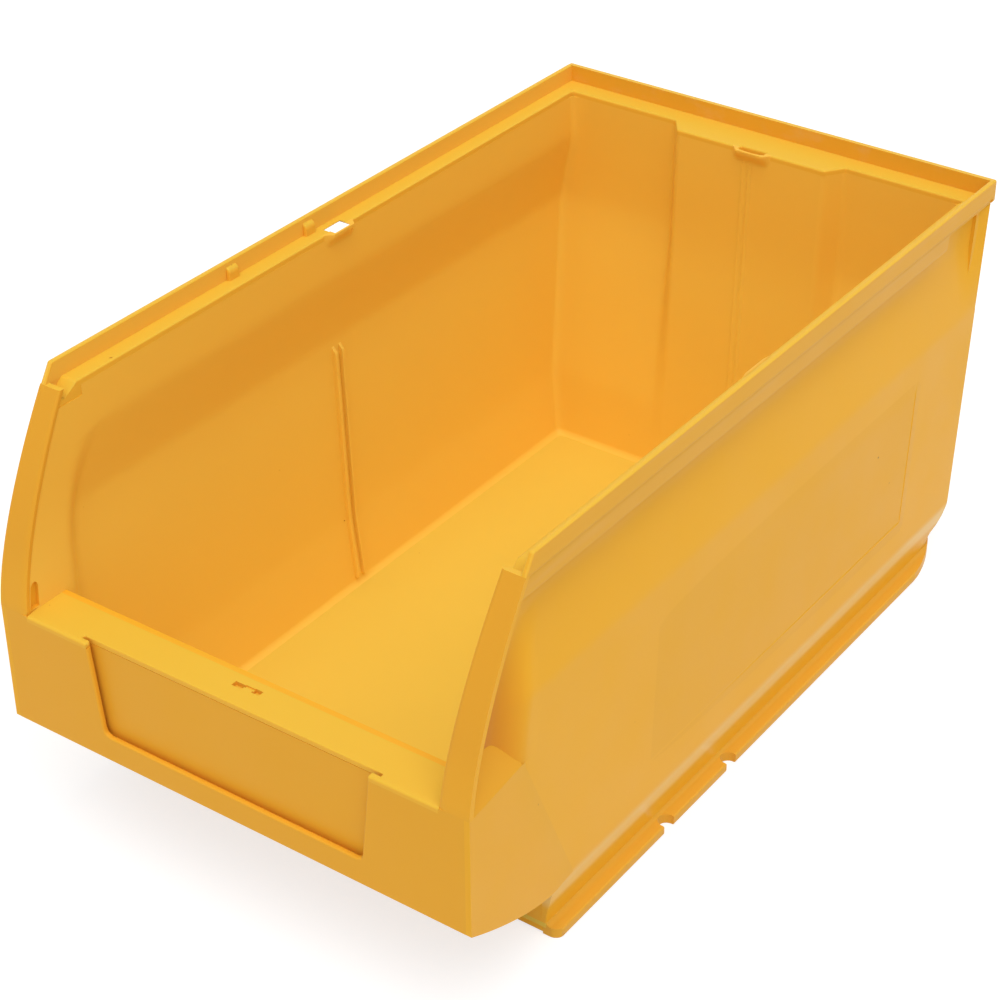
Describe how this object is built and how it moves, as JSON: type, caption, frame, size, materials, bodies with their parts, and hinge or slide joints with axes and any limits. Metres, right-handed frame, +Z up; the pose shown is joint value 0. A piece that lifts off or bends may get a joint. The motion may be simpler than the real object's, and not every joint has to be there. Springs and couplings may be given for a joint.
{
  "type": "stackable storage bin",
  "caption": "Open-front stackable storage bin with a raised rim, an inner stacking ledge, outward foot rails, a label window in the front panel and slots for dividers.",
  "frame": {"origin": "centre of the footprint, on the surface that the foot rails stand on", "axes": "+Z up, -Y toward the open front with the label panel, +X to the right seen from the front"},
  "size_m": [0.23, 0.4, 0.2],
  "materials": {
    "polypropylene": "satin yellow-orange moulded polypropylene"
  },
  "bodies": {
    "root": {"floor_panel": "polypropylene", "left_side_wall": "polypropylene", "right_side_wall": "polypropylene", "rear_wall": "polypropylene", "inner_front_wall": "polypropylene", "front_sill": "polypropylene", "label_panel": "polypropylene", "label_pocket": "polypropylene", "left_front_flange": "polypropylene", "right_front_flange": "polypropylene", "left_front_cheek": "polypropylene", "right_front_cheek": "polypropylene", "left_corner_web": "polypropylene", "right_corner_web": "polypropylene", "left_ledge": "polypropylene", "right_ledge": "polypropylene", "rear_ledge": "polypropylene", "left_rim": "polypropylene", "right_rim": "polypropylene", "rear_rim": "polypropylene", "left_apron": "polypropylene", "right_apron": "polypropylene", "left_foot_rail": "polypropylene", "right_foot_rail": "polypropylene", "front_foot": "polypropylene", "rear_foot": "polypropylene", "left_divider_ribs": "polypropylene", "right_divider_ribs": "polypropylene", "rear_divider_ribs": "polypropylene", "left_divider_seat": "polypropylene", "right_divider_seat": "polypropylene", "rear_divider_seat": "polypropylene", "stacking_nubs": "polypropylene", "left_side_pad": "polypropylene", "right_side_pad": "polypropylene"}
  },
  "joints": []
}
